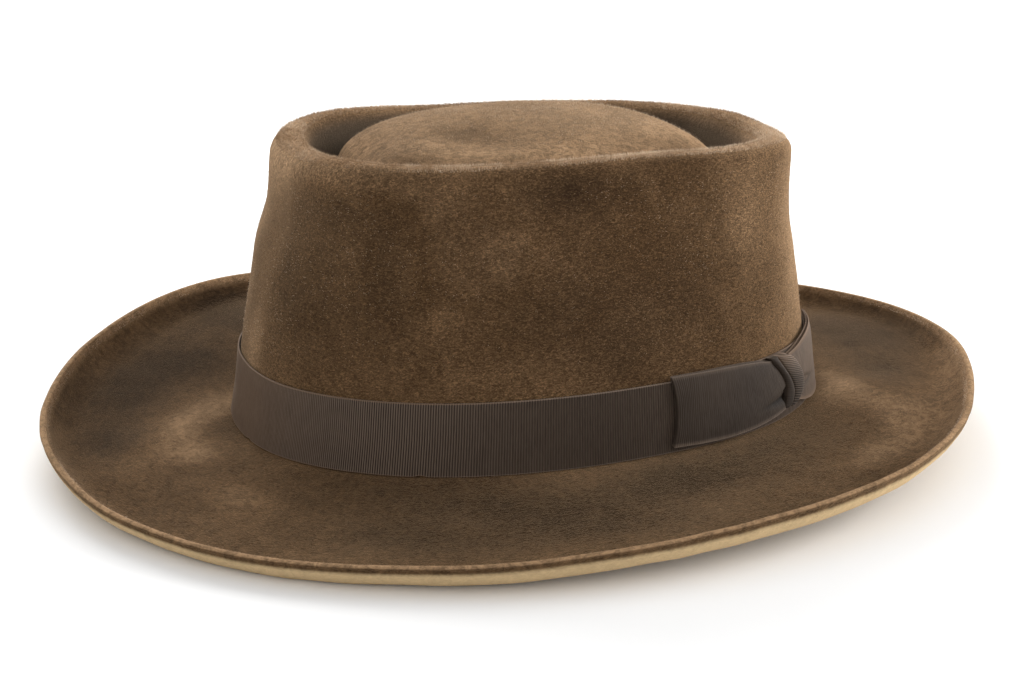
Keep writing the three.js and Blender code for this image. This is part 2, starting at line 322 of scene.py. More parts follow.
def cubic(before, start, end, after, share):
    """A smooth curve between two values of a table, led by the values before and after them."""
    leave, arrive = (end - before) / 2, (after - start) / 2
    rest = 1 - share
    bend = share * rest * (rest * (leave - (end - start)) - share * (arrive - (end - start)))
    return lerp(start, end, share) + bend


def along(rows, columns, x, column):
    """A column of a table whose first column runs from its first row to its last."""
    c = columns.index(column)
    last = len(rows) - 1
    i = 0
    while i < last - 1 and x > rows[i + 1][0]:
        i += 1
    share = (x - rows[i][0]) / (rows[i + 1][0] - rows[i][0])
    at = [rows[min(max(k, 0), last)][c] for k in (i - 1, i, i + 1, i + 2)]
    return cubic(*at, share)


def around(rows, columns, angle, column):
    """A column of a table whose rows go round the hat."""
    c = columns.index(column)
    x = angle % 360
    count = len(rows)
    i = 0
    while i < count - 1 and x >= rows[i + 1][0]:
        i += 1
    following = rows[i + 1][0] if i + 1 < count else 360 + rows[0][0]
    at = [rows[k % count][c] for k in (i - 1, i, i + 1, i + 2)]
    return cubic(*at, (x - rows[i][0]) / (following - rows[i][0]))


def oval(shape, angle):
    """A point of an oval in plan. Squareness 2 is an ellipse, and more is squarer."""
    c, s = math.cos(math.radians(angle)), math.sin(math.radians(angle))
    n = shape["squareness"]
    r = (abs(c) ** n + abs(s) ** n) ** (-1 / n)
    return Vector((shape["half_width"] * r * c, shape["shift_back"] + shape["half_length"] * r * s))


# The crown's wall and the brim


def break_line(angle):
    return BREAK_HEIGHT + BREAK_WAVE * math.cos(math.radians(2 * angle))


def wall_shape(height, off=0.0):
    shape = {name: along(CROWN_WALL, WALL_COLUMNS, height, name) for name in WALL_COLUMNS[1:]}
    shape["half_length"] += off
    shape["half_width"] += off
    return shape


def wall_point(angle, height, off=0.0):
    """A point of the crown's wall, at a height above the break and a distance off the felt."""
    p = oval(wall_shape(height, off), angle)
    return Vector((p.x, p.y, break_line(angle) + height))


def brim_point(angle, out, z):
    """A point of the brim's upper side, at a distance out from the foot of the wall."""
    inner, outer = oval(wall_shape(0), angle), oval(BRIM_OUTLINE, angle)
    p = inner.lerp(outer, out / (outer - inner).length)
    return Vector((p.x, p.y, z))


class BrimSection:
    """How the brim lies in one direction: its trough, the radius of its roll, and where the roll begins."""

    def __init__(self, angle, felt):
        self.trough = around(BRIM, BRIM_COLUMNS, angle, "trough") + felt
        rise = around(BRIM, BRIM_COLUMNS, angle, "edge") - self.trough
        self.radius = rise / (1 - math.cos(math.radians(ROLL_ANGLE)))
        width = (oval(BRIM_OUTLINE, angle) - oval(wall_shape(0), angle)).length
        reach = width + around(BRIM, BRIM_COLUMNS, angle, "reach")
        self.bend = reach - self.radius * math.sin(math.radians(ROLL_ANGLE))


def fold_lift(angle, share):
    lift = 0.0
    for fold in BRIM_FOLDS:
        away = angle_past(angle, fold["angle"] + fold["turn"] * share)
        lift += fold["height"] * bell(away, fold["half_width"]) * math.sin(math.pi * share)
    return lift


def roll_point(angle, turn, felt):
    s = BrimSection(angle, felt)
    a = math.radians(turn * ROLL_ANGLE)
    return brim_point(angle, s.bend + s.radius * math.sin(a), s.trough + s.radius * (1 - math.cos(a)))


def flat_point(angle, share, felt):
    s = BrimSection(angle, felt)
    z = lerp(s.trough, break_line(angle), (1 - share) ** 2) + fold_lift(angle, share)
    return brim_point(angle, lerp(BREAK_FILLET, s.bend, share), z)


def fillet_point(angle, turn):
    a = math.radians(turn)
    z = break_line(angle) + BREAK_FILLET * (1 - math.cos(a))
    return brim_point(angle, BREAK_FILLET * (1 - math.sin(a)), z)


# The crown's top


def rim_value(angle, column):
    return around(RIM, RIM_COLUMNS, angle, column)


def rim_top(angle):
    """Height above the break at which the rim's roll begins."""
    return BREAK_HEIGHT + rim_value(angle, "height") - rim_value(angle, "radius") - break_line(angle)


def upright_point(angle, share):
    """A point of the whole wall, from its foot at 0 to the rim's roll at 1."""
    top = rim_top(angle)
    height = lerp(BREAK_FILLET, top, share)
    row = height
    if height >= STRETCH_HEIGHT:
        row = lerp(STRETCH_HEIGHT, CROWN_HEIGHT, (height - STRETCH_HEIGHT) / (top - STRETCH_HEIGHT))
    p = oval(wall_shape(row), angle)
    return Vector((p.x, p.y, break_line(angle) + height))


def top_point(angle, inset, drop):
    """A point of the crown's top, at a distance in from the wall and below the rim."""
    inward = smooth(0, DOME_INSET, inset)
    shape = wall_shape(CROWN_HEIGHT, -inset)
    shape["squareness"] = lerp(shape["squareness"], DOME_SQUARENESS, inward)
    p = oval(shape, angle)
    z = BREAK_HEIGHT + rim_value(angle, "height") - drop
    return Vector((p.x, p.y - DOME_SHIFT * inward, z))


def rim_point(angle, turn):
    radius = rim_value(angle, "radius")
    a = math.radians(turn)
    return top_point(angle, radius * (1 - math.cos(a)), radius * (1 - math.sin(a)))


def groove_side_point(angle, share):
    radius = rim_value(angle, "radius")
    inset = 2 * radius + GROOVE_SLOPE * share
    return top_point(angle, inset, lerp(radius, GROOVE_DEPTH - GROOVE_RADIUS, share))


def groove_floor_point(angle, turn):
    a = math.radians(turn)
    inset = 2 * rim_value(angle, "radius") + GROOVE_SLOPE + GROOVE_RADIUS * (1 - math.cos(a))
    return top_point(angle, inset, GROOVE_DEPTH - GROOVE_RADIUS * (1 - math.sin(a)))


def dome_point(angle, share):
    """A point of the dome, from its middle at 0 to its foot in the groove at 1."""
    inset = 2 * rim_value(angle, "radius") + GROOVE_SLOPE + 2 * GROOVE_RADIUS
    foot = top_point(angle, inset, GROOVE_DEPTH - GROOVE_RADIUS)
    back = wall_shape(CROWN_HEIGHT)["shift_back"] - DOME_SHIFT
    middle = Vector((0, back, BREAK_HEIGHT + CROWN_HEIGHT + DOME_RISE))
    p = middle.lerp(foot, share)
    p.z = lerp(foot.z, middle.z, (1 - share**DOME_FULLNESS) ** (1 / DOME_FULLNESS))
    away = math.hypot(p.x - DOME_DENT["left"], p.y - DOME_DENT["back"]) / DOME_DENT["radius"]
    p.z -= DOME_DENT["depth"] * math.exp(-(away**2))
    return p


def felt_rings(felt):
    """Rings of the felt's upper side, from the cut edge of the brim to the middle of the dome: the function
    that gives a point for an angle, how much painted crest highlight the ring carries, and how free the felt
    is there."""
    rings = []

    def add(surface, value, crest_highlight, free, *rest):
        rings.append((lambda angle: surface(angle, value, *rest), crest_highlight, free))

    for k in range(ROLL_RINGS, 0, -1):
        turn = math.sin(math.pi / 2 * k / ROLL_RINGS)
        add(roll_point, turn, smooth(0.7, 1, turn), 1, felt)
    for k in range(BRIM_RINGS, 0, -1):
        add(flat_point, k / BRIM_RINGS, 0, smooth(2, 9, k), felt)
    for turn in FILLET_TURNS:
        add(fillet_point, turn, 0, 0)
    for k in range(WALL_RINGS):
        add(upright_point, k / WALL_RINGS, 0, smooth(9, 15, k))
    for k in range(RIM_RINGS + 1):
        turn = 180 * k / RIM_RINGS
        add(rim_point, turn, max(math.sin(math.radians(turn)), 0) ** 5, RIM_FREE)
    for k in range(1, GROOVE_SIDE_RINGS + 1):
        add(groove_side_point, k / GROOVE_SIDE_RINGS, 0, GROOVE_FREE)
    for k in range(1, GROOVE_FLOOR_RINGS):
        add(groove_floor_point, 180 * k / GROOVE_FLOOR_RINGS, 0, GROOVE_FREE)
    for k in range(DOME_RINGS + 1):
        add(dome_point, 1 - (k / DOME_RINGS) ** 2, 0, smooth(3, 10, k))
    return rings


# Meshes


def make_grid(columns, rows, place, layers=()):
    """A grid of faces whose corner in a column and row is put by place, which gives the point in
    millimetres and the values of the named layers. Corners that meet are merged."""
    bm = bmesh.new()
    bmesh.ops.create_grid(bm, x_segments=columns, y_segments=rows, size=0.5)
    stores = {}
    for name, kind in layers:
        group = bm.verts.layers.float_vector if kind == "vector" else bm.verts.layers.float
        stores[name] = group.new(name)
    for vert in bm.verts:
        column = round((vert.co.x + 0.5) * columns)
        row = round((vert.co.y + 0.5) * rows)
        point, values = place(column, row)
        vert.co = point * MM
        for name, value in values.items():
            vert[stores[name]] = value
    bmesh.ops.remove_doubles(bm, verts=bm.verts, dist=1e-7)
    return bm


def close_ends(bm):
    ends = [edge for edge in bm.edges if edge.is_boundary]
    if ends:
        bmesh.ops.holes_fill(bm, edges=ends, sides=0)


def new_object(bm, name, material):
    """Turns the faces outwards and makes the object."""
    bmesh.ops.recalc_face_normals(bm, faces=bm.faces)
    mesh = bpy.data.meshes.new(name)
    bm.to_mesh(mesh)
    bm.free()
    mesh.materials.append(material)
    made = bpy.data.objects.new(name, mesh)
    bpy.context.scene.collection.objects.link(made)
    return made


def finish_piece(bm, name, material, nodes):
    """Puts a piece round the crown's axis, makes its object and ties it to the frame."""
    bmesh.ops.translate(bm, verts=bm.verts, vec=(AXIS.x, AXIS.y, 0))
    for face in bm.faces:
        face.smooth = True
    piece = new_object(bm, name, material)
    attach(piece, "root")
    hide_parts(*nodes)
    return piece


def unevenness(point, sizes):
    """Low seeded swells of hand-brushed felt, in millimetres."""
    swell = noise.noise(point / sizes.swell_length + SWELL_PLACE)
    ripple = noise.noise(point / sizes.ripple_length + RIPPLE_PLACE)
    return sizes.swell_height * swell + sizes.ripple_height * ripple


def felt_surface(rings, sizes):
    """Points of the felt's upper side, ring by ring, the way the felt faces at each of them, and how far
    each ring is from the cut edge."""
    columns = sizes.columns
    last = len(rings) - 1
    points = [[ring[0](360 * j / columns) for j in range(columns)] for ring in rings]
    normals = []
    for i in range(last):
        row = []
        for j in range(columns):
            around_hat = points[i][(j + 1) % columns] - points[i][j - 1]
            up_hat = points[i + 1][j] - points[max(i - 1, 0)][j]
            row.append(around_hat.cross(up_hat).normalized())
        normals.append(row)
    normals.append([Vector((0, 0, 1))] * columns)
    for ring, ring_points, ring_normals in zip(rings, points, normals):
        for j, p in enumerate(ring_points):
            ring_points[j] = p + ring_normals[j] * ring[2] * unevenness(p, sizes)
    points[-1] = points[-1][:1] * columns
    lengths = [0.0]
    for before, after in zip(points, points[1:]):
        lengths.append(lengths[-1] + (after[0] - before[0]).length)
    return points, normals, lengths


def felt_mesh(sizes):
    """The felt: its upper side, the rounded cut edge and the lower side, which lies flat where it would
    pass below the floor."""
    rings = felt_rings(sizes.thickness)
    points, normals, lengths = felt_surface(rings, sizes)
    columns = sizes.columns
    count = len(rings)
    wall_foot = ROLL_RINGS + BRIM_RINGS
    dome_foot = count - DOME_RINGS
    rim_inside = dome_foot - 18  # here the rim turns down into the groove

    def side(i, j, depth):
        p = points[i][j] - normals[i][j] * depth
        p.z = max(p.z, 0)
        return p

    def place(column, row):
        """Rows go from the middle of the dome out to the cut edge, and back along the lower side."""
        j = column % columns
        crest_highlight = underside_light = cut = past_edge = 0.0
        if row < count:
            i = count - 1 - row
            point = side(i, j, 0)
            crest_highlight = rings[i][1]
        elif row < count + EDGE_RINGS - 1:
            i = 0
            share = (row - count + 1) / EDGE_RINGS
            bulge = sizes.edge_round * math.sin(math.pi * share) ** 0.5
            out = (points[0][j] - points[1][j]).normalized()
            past_edge = sizes.thickness * share
            point = side(0, j, past_edge) + out * bulge
            point.z = max(point.z, 0)
            crest_highlight = 1 - smooth(0.7, 1, share)
            # The lower part of the cut face begins the painted shadow line
            cut = smooth(0.75, 1.1, share)
        else:
            i = row - count - EDGE_RINGS + 1
            # Painted shadow line just inside the cut edge, where the lower side dips in too
            cut = bell(lengths[i] - CUT_SHADOW_LINE["inward"], CUT_SHADOW_LINE["half_width"])
            past_edge = sizes.thickness + 2 * lengths[i]
            point = side(i, j, sizes.thickness - sizes.edge_dip * cut)
            # The underside is painted light tan as bounce light from below
            underside_light = smooth(UNDERSIDE_LIGHT_RAMP["start"], UNDERSIDE_LIGHT_RAMP["full"], lengths[i])
        if i > dome_foot:
            lay = Vector((point.x, point.y, 0)) * MM * sizes.dome_lay
        else:
            a = 2 * math.pi * j / columns
            lay_z = (lengths[i] - past_edge) * MM
            lay = Vector((sizes.lay_radius * math.cos(a), sizes.lay_radius * math.sin(a), lay_z))
        brim = 1 - smooth(wall_foot, wall_foot + 5, i)
        wall = (1 - brim) * (1 - smooth(rim_inside, rim_inside + 6, i))
        # Painted grey shade in the groove between the rim and the dome
        groove = smooth(rim_inside, rim_inside + 5, i) * (1 - smooth(dome_foot - 2, dome_foot + 2, i))
        dome = smooth(dome_foot - 3, dome_foot + 4, i)
        parts = {"wall": wall, "brim": brim, "dome": dome, "every part": 1}
        plain = 1 - 0.75 * underside_light
        # The brushed mark holds the brushed nap with painted light and shade, painted shade over the brim and
        # painted light on the dome
        brushed = nap_and_painted_light(point) + BRIM_PAINTED_SHADE * (1 - smooth(wall_foot - 3, wall_foot + 3, i)) * (1 - underside_light)
        return point, {
            "lay": lay,
            "crest_highlight": crest_highlight,
            "underside_light": underside_light,
            "cut": cut,
            "groove": groove,
            "brushed": brushed + DOME_PAINTED_LIGHT * smooth(dome_foot, dome_foot + 6, i),
            "fine": plain * sum(FINE_TIPS[part] * share for part, share in parts.items()),
            "tuft": plain * sum(TUFTS[part] * share for part, share in parts.items()),
        }

    marks = ("crest_highlight", "underside_light", "cut", "groove", "brushed", "fine", "tuft")
    layers = (("lay", "vector"), *((name, "float") for name in marks))
    return make_grid(columns, 2 * count + EDGE_RINGS - 2, place, layers)


def uneven_point(surface, angle, along_surface, free, sizes):
    """A point on the uneven felt, and the way that the felt faces there."""
    angle_step, share_step = 0.8, 0.02
    point = surface(angle, along_surface)
    around_hat = surface(angle + angle_step, along_surface) - surface(angle - angle_step, along_surface)
    onward = surface(angle, along_surface + share_step) - surface(angle, along_surface - share_step)
    facing = around_hat.cross(onward).normalized()
    return point + facing * free * unevenness(point, sizes), facing


def fibre_root(zone, low, high, chance, sizes):
    """A random place on a part of the felt where a loose fibre grows."""
    angle = chance.uniform(0, 360)
    share = chance.uniform(low, high)
    if zone == "rim":
        return uneven_point(lambda a, t: rim_point(a, 180 * t), angle, share, RIM_FREE, sizes)
    if zone == "wall":
        return uneven_point(upright_point, angle, share, 1, sizes)
    if zone == "dome":
        return uneven_point(lambda a, t: dome_point(a, 1 - t), angle, share**2, 1, sizes)
    return uneven_point(lambda a, t: roll_point(a, 1 - t, sizes.thickness), angle, 1 - share, 1, sizes)


def fibre_mesh(sizes):
    """Loose fibres of the nap: thin closed spikes, doubled from one and then put in their places."""
    bm = bmesh.new()
    bmesh.ops.create_cone(bm, cap_ends=True, segments=3, radius1=0.5, radius2=0, depth=1)
    bmesh.ops.remove_doubles(bm, verts=bm.verts, dist=1e-5)
    wanted = [(zone, longest, *reach) for zone, count, longest, *reach in FIBRES for _ in range(count)]
    while len(bm.verts) < 4 * len(wanted):
        missing = len(wanted) - len(bm.verts) // 4
        tips = [v for v in bm.verts if v.co.z > 0][:missing]
        copied = {v for tip in tips for v in (tip, *(edge.other_vert(tip) for edge in tip.link_edges))}
        faces = {face for v in copied for face in v.link_faces}
        edges = {edge for v in copied for edge in v.link_edges}
        bmesh.ops.duplicate(bm, geom=[*copied, *edges, *faces])
    chance = random.Random(FIBRE_SEED)
    tips = [v for v in bm.verts if v.co.z > 0]
    for tip, (zone, longest, low, high) in zip(tips, wanted):
        root, facing = fibre_root(zone, low, high, chance, sizes)
        stray = Vector([chance.gauss(0, 1) for _ in range(3)])
        way = (facing + stray * sizes.fibre_stray + Vector((0, 0, sizes.fibre_rise))).normalized()
        sideways = way.orthogonal().normalized()
        across = way.cross(sideways)
        foot = root - facing * sizes.fibre_width
        feet = [edge.other_vert(tip) for edge in tip.link_edges]
        tip.co = (foot + way * chance.uniform(SHORTEST_FIBRE, 1) * longest) * MM
        for k, vert in enumerate(feet):
            turn = 2 * math.pi * k / 3
            vert.co = (foot + (sideways * math.cos(turn) + across * math.sin(turn)) * sizes.fibre_width) * MM
    return bm


def nap_and_painted_light(point):
    """How much lighter or darker the brushed nap, with painted light and shade, makes the felt at a point."""
    total = 0.0
    for angle, radius, height, reach, across, turn, lift in BRUSHED_AND_PAINTED_LIGHT:
        a = math.radians(angle)
        away = point - Vector((radius * math.cos(a), radius * math.sin(a), height))
        a -= math.radians(turn)
        lengthways = away.dot(Vector((-math.sin(a), math.cos(a), 0)))
        rest = away.length_squared - lengthways**2
        total += lift * math.exp(-((lengthways / reach) ** 2) - rest / across**2)
    return min(max(total, NAP_AND_LIGHT_LIMITS[0]), NAP_AND_LIGHT_LIMITS[1])


def ribbon_section(sizes, steps):
    """The section of a ribbon, round from its lower edge: share of the width, side of the thickness from
    -1 to 1, and how much of a rib and of a selvedge there is."""
    edge = sizes.selvedge / sizes.width
    near = [0.0, 0.3 * edge, 0.7 * edge, 1.1 * edge, 1.6 * edge]
    middle = [lerp(near[-1], 1 - near[-1], k / steps) for k in range(1, steps)]
    section = []
    for share in near + middle + [1 - s for s in reversed(near)]:
        from_edge = min(share, 1 - share) / edge
        side = 1.0 if from_edge > 0.1 else 0.4
        section.append((share, side, min(1, 0.5 + from_edge), 1 - smooth(0.6, 1.1, from_edge)))
    for share in (1.0, 0.75, 0.5, 0.25, 0.0):
        section.append((share, -1.0 if 0 < share < 1 else -0.4, 0.0, 0.0))
    return section


def strip_values(distance, share, rib, selvedge, tone, sizes):
    """Marks of a ribbon's face: the painted rib light is 1 on top of a rib, a painted highlight, and -1
    between two, painted shade.
    """
    rib_light_and_shade = rib * math.cos(2 * math.pi * distance / sizes.rib_pitch)
    weave = Vector((distance * MM, share * sizes.width * MM, 0))
    return {"weave": weave, "selvedge": selvedge, "rib_light_and_shade": rib_light_and_shade, "tone": tone}


STRIP_LAYERS = (("weave", "vector"), ("selvedge", "float"), ("rib_light_and_shade", "float"), ("tone", "float"))


def relief(distance, rib, selvedge, sizes):
    """How far a ribbon's face stands out for its ribs and its selvedges."""
    ribs = sizes.rib_depth * 0.5 * (1 + math.cos(2 * math.pi * distance / sizes.rib_pitch))
    return rib * ribs + selvedge * sizes.selvedge_rise


def scallop(distance, share, sizes):
    """How far a ribbon's edge reaches up or down at each rib's turn."""
    if 0 < share < 1:
        return 0.0
    reach = sizes.edge_scallop * 0.5 * (1 + math.cos(2 * math.pi * distance / sizes.rib_pitch))
    return reach if share == 1 else -reach


def wander(angle, pace, place):
    """A seeded wander to either side of 0 that closes round the hat."""
    a = math.radians(angle)
    return noise.noise(Vector((pace * math.cos(a), pace * math.sin(a), place)))


def rib_clearness(angle):
    """How strongly the band's ribs are painted with highlight and shade: most at the front left, and more
    behind than at the sides.
    """
    behind = smooth(60, 100, angle) * (1 - smooth(220, 250, angle))
    return 0.3 + 0.95 * bell(angle - 314, 22) + 0.4 * behind


def band_mesh(sizes):
    """The ribbon round the crown. Its ends lie under the bow."""
    steps = 720
    ring = [wall_point(360 * k / steps, RIBBON_MIDDLE, BOW_BED) for k in range(steps + 1)]
    length = sum((after - before).length for before, after in zip(ring, ring[1:]))
    ribs = round(length / sizes.rib_pitch)
    columns = RIB_STEPS * ribs
    section = ribbon_section(sizes, steps=6)

    def place(column, row):
        angle = 360 * (column % columns) / columns
        share, side, rib, selvedge = section[row % len(section)]
        distance = ribs * sizes.rib_pitch * (column % columns) / columns
        height = sizes.band_low + share * sizes.width + sizes.edge_wave * wander(angle, pace=2.2, place=4.5)
        height += scallop(distance, share, sizes)
        for nick in BAND_NICKS:
            lift = nick["lift"] * bell(angle - nick["angle"], nick["half_width"])
            height += lift * (1 - smooth(0, 0.12, share))
        loose = sizes.edge_loose * (0.5 + wander(angle, pace=5, place=1.5)) * smooth(0.75, 1, share)
        flare = sizes.edge_flare * (1 - smooth(0, 0.06, share))
        off = BAND_BED + sizes.thickness * (0.5 + 0.5 * side) + loose + flare
        off += relief(distance, rib, selvedge, sizes) if side > 0 else 0
        # Painted light and shade along the band, lighter selvedges, and painted shade on the side against the
        # felt
        tone = 1.0
        for shade in BAND_PAINTED_LIGHT:
            tone += shade["lift"] * bell(angle_past(angle, shade["angle"]), shade["half_width"])
        tone *= 1 + 0.8 * selvedge if side > 0 else 0.6
        marks = strip_values(distance, share, rib * rib_clearness(angle), selvedge, tone, sizes)
        return wall_point(angle, height, off), marks

    return make_grid(columns, len(section), place, STRIP_LAYERS)


def bow_row(table, angle):
    return {name: along(table, BOW_COLUMNS, angle, name) for name in BOW_COLUMNS[1:]}


def bow_point(angle, height, off, lean):
    return wall_point(angle + lean * (1 - height / RIBBON_MIDDLE), height, off)


def loop_mesh(table, toward, gather, tone, sizes):
    """A loop of the bow: a ribbon that runs from the knot to its fold and back beneath itself. It runs
    towards the back where toward is 1, and towards the front where it is -1."""
    knot_angle, fold_angle = table[0][0], table[-1][0]
    if toward < 0:
        knot_angle, fold_angle = fold_angle, knot_angle
    per_degree = (wall_point(knot_angle, RIBBON_MIDDLE) - wall_point(fold_angle, RIBBON_MIDDLE)).length
    per_degree /= abs(knot_angle - fold_angle)
    half = sizes.thickness / 2
    bed = BOW_BED + half
    fold_row = bow_row(table, fold_angle)
    fold_radius = (fold_row["face"] - half - bed) / 2
    turn = fold_angle - toward * fold_radius / per_degree
    straight = abs(turn - knot_angle) * per_degree
    curve = math.pi * fold_radius
    total = 2 * straight + curve
    columns = RIB_STEPS * round(total / sizes.rib_pitch)
    section = ribbon_section(sizes, steps=26)

    def middle_line(distance):
        """Angle, layer (1 outer, 0 inner) and the turn of the fold."""
        if distance < straight:
            return lerp(knot_angle, turn, distance / straight), 1.0, 0.0
        if distance < straight + curve:
            a = (distance - straight) / fold_radius
            return turn + toward * fold_radius * math.sin(a) / per_degree, 0.5 + 0.5 * math.cos(a), a
        return lerp(turn, knot_angle, (distance - straight - curve) / straight), 0.0, math.pi

    def place(column, row):
        distance = total * column / columns
        share, side, rib, selvedge = section[row % len(section)]
        angle, layer, turned = middle_line(distance)
        values = bow_row(table, angle)
        inner_rise = sizes.inner_rise * (1 - layer)
        height = lerp(values["low"] + sizes.inner_low * (1 - layer), values["high"] + inner_rise, share)
        height += scallop(distance, share, sizes)
        bow_in = sizes.fold_hollow * (1 - (2 * share - 1) ** 2) * smooth(8, 0, abs(angle - turn) * per_degree)
        crown = sizes.loop_crown * (1 - (2 * share - 1) ** 4) - sizes.loop_crown
        lip = sizes.lip * (1 - smooth(0, 0.08, share)) * layer
        off = lerp(bed, values["face"] - half + crown * layer + lip, layer)
        from_knot = abs(angle - knot_angle) * per_degree
        near = smooth(gather["reach"], 0, from_knot) if layer > 0.9 else 0
        above = height - gather["height"] - gather["slope"] * from_knot
        wedge = bell(above, gather["half_width"] * lerp(0.25, 1, near))
        off -= near * gather["depth"] * wedge
        gather_shade = near**0.5 * wedge
        rib *= 0.1 + 0.3 * smooth(16, 3, abs(angle - fold_angle) * per_degree)  # clearest by the fold
        out = half * side + (relief(distance, rib, selvedge, sizes) if side > 0 else 0)
        angle += toward * (out * math.sin(turned) - bow_in) / per_degree
        off = max(off + out * math.cos(turned), BOW_BED + 0.02)
        # Painted light on the turned lower lip and the top edge, and painted shade in the gather
        lit = (1 - smooth(0.02, 0.06, share)) * layer + 0.5 * smooth(0.96, 0.98, share)
        shade = tone * (1 + 1.4 * lit) * (1 - 0.9 * gather_shade)
        marks = strip_values(distance, share, rib, selvedge, shade, sizes)
        return bow_point(angle, height, off, values["lean"]), marks

    bm = make_grid(columns, len(section), place, STRIP_LAYERS)
    close_ends(bm)
    return bm


def knot_mesh(sizes):
    """The strip that wraps the middle of the bow, folded into a narrow ridge and a wide ribbed face."""
    lowest, highest = KNOT[0][0], KNOT[-1][0]
    columns = 72
    face_steps = 120
    section = [(k / face_steps, 1.0) for k in range(face_steps + 1)]
    section += [(1.0, 0.5), (1.0, 0.0), (0.5, 0.0), (0.0, 0.0), (0.0, 0.5)]

    def place(column, row):
        share, level = section[row % len(section)]
        height = lerp(lowest, highest, share)
        start, crease, end = (along(KNOT, KNOT_COLUMNS, height, name) for name in KNOT_COLUMNS[1:])
        angle = lerp(start, end, column / columns)
        narrow = angle < crease
        over = (angle - start) / (crease - start) if narrow else (angle - crease) / (end - crease)
        swell = math.sin(math.pi * min(max(over, 0), 1)) ** 0.6
        rise = swell * (sizes.knot_fold if narrow else sizes.knot_face)
        tip = (1 - (2 * share - 1) ** 12) ** 0.5 if 0 < share < 1 else 0.0
        along_strip = height + sizes.rib_slant * (angle - start)
        rib = 0.15 if narrow else min(1, 3 * swell)
        # Painted shade on the narrow fold, and painted light that grows up the wide face
        tone = lerp(0.5, 0.3, swell) if narrow else lerp(0.55, 1.3, smooth(0.45, 0.95, share))
        top = sizes.knot_foot + (rise + relief(along_strip, rib, 0.0, sizes)) * lerp(0.3, 1, tip)
        marks = strip_values(along_strip, 0.0, rib, 0.0, tone, sizes)
        return wall_point(angle, height, lerp(BOW_BED, top, level)), marks

    bm = make_grid(columns, len(section), place, STRIP_LAYERS)
    close_ends(bm)
    return bm


# Shader node helpers


def node_group(name, inputs, outputs):
    """A new shader node group with named sockets, and its input and output nodes."""
    tree = bpy.data.node_groups.new(name, "ShaderNodeTree")
    for socket, kind, default in inputs:
        made = tree.interface.new_socket(name=socket, in_out="INPUT", socket_type="NodeSocket" + kind)
        if default is not None:
            made.default_value = default
    for socket, kind in outputs:
        tree.interface.new_socket(name=socket, in_out="OUTPUT", socket_type="NodeSocket" + kind)
    return tree, tree.nodes.new("NodeGroupInput"), tree.nodes.new("NodeGroupOutput")


def put(tree, socket, value):
    """Links another socket into a socket, or sets the socket to a value."""
    if isinstance(value, bpy.types.NodeSocket):
        tree.links.new(value, socket)
    else:
        socket.default_value = value


def add_node(tree, kind, links=None, **settings):
    """A node with its settings, and with values or sockets put in by name or number."""
    node = tree.nodes.new(kind)
    for name, value in settings.items():
        setattr(node, name, value)
    for key, value in (links or {}).items():
        put(tree, node.inputs[key], value)
    return node


def placed_group(tree, group, **links):
    node = add_node(tree, "ShaderNodeGroup", node_tree=group)
    for key, value in links.items():
        put(tree, node.inputs[key], value)
    return node


def maths(tree, operation, *values):
    return add_node(tree, "ShaderNodeMath", dict(enumerate(values)), operation=operation).outputs[0]


def scaled(tree, colour, tone):
    return add_node(tree, "ShaderNodeVectorMath", {0: colour, "Scale": tone}, operation="SCALE").outputs[0]


def mapped(tree, value, low, high, to_low=0.0, to_high=1.0):
    links = {"Value": value, "From Min": low, "From Max": high, "To Min": to_low, "To Max": to_high}
    return add_node(tree, "ShaderNodeMapRange", links, interpolation_type="SMOOTHSTEP").outputs[0]


def mixed(tree, share, first, second):
    """A colour between two others, each of them a socket or a plain colour."""
    node = add_node(tree, "ShaderNodeMix", {0: share}, data_type="RGBA")
    for key, value in ((6, first), (7, second)):
        put(tree, node.inputs[key], value if isinstance(value, bpy.types.NodeSocket) else (*value, 1))
    return node.outputs[2]


def noise_value(tree, vector, scale, detail=2.0, roughness=0.5, distortion=0.0):
    links = {"Vector": vector, "Scale": scale, "Detail": detail}
    links.update({"Roughness": roughness, "Distortion": distortion})
    return add_node(tree, "ShaderNodeTexNoise", links).outputs["Fac"]


def attribute(tree, name, output="Fac"):
    return add_node(tree, "ShaderNodeAttribute", attribute_name=name).outputs[output]


def weighted(tree, name, weight):
    """A mark of the mesh times a weight."""
    return maths(tree, "MULTIPLY", attribute(tree, name), weight)


def object_place(tree):
    return add_node(tree, "ShaderNodeTexCoord").outputs["Object"]


def roughen(tree, shader, height, strength, distance):
    """Gives a shader bump from a height, whose full step is a distance in metres."""
    bump = add_node(tree, "ShaderNodeBump", {"Height": height, "Strength": strength, "Distance": distance})
    tree.links.new(bump.outputs[0], shader.inputs["Normal"])


def set_sockets(shader, values):
    for name, value in values.items():
        shader.inputs[name].default_value = value


def grain_group():
    """Fine fuzz or yarn: two sizes of noise over a stretched vector."""
    inputs = (("Vector", "Vector", None), ("Stretch", "Vector", (1, 1, 1)), ("Scale", "Float", 900.0))
    tree, given, result = node_group("Fine grain", inputs, (("Grain", "Float"), ("Coarse", "Float")))
    links = {0: given.outputs["Vector"], 1: given.outputs["Stretch"]}
    stretched = add_node(tree, "ShaderNodeVectorMath", links, operation="MULTIPLY").outputs[0]
    fine = noise_value(tree, stretched, given.outputs["Scale"], 1.5, 0.5, 1.4)
    wide = maths(tree, "MULTIPLY", given.outputs["Scale"], 0.25)
    coarse = noise_value(tree, stretched, wide, 1.0, 0.5, 0.5)
    tree.links.new(mapped(tree, fine, 0.22, 0.78), result.inputs["Grain"])
    tree.links.new(mapped(tree, coarse, 0.35, 0.65), result.inputs["Coarse"])
    return tree


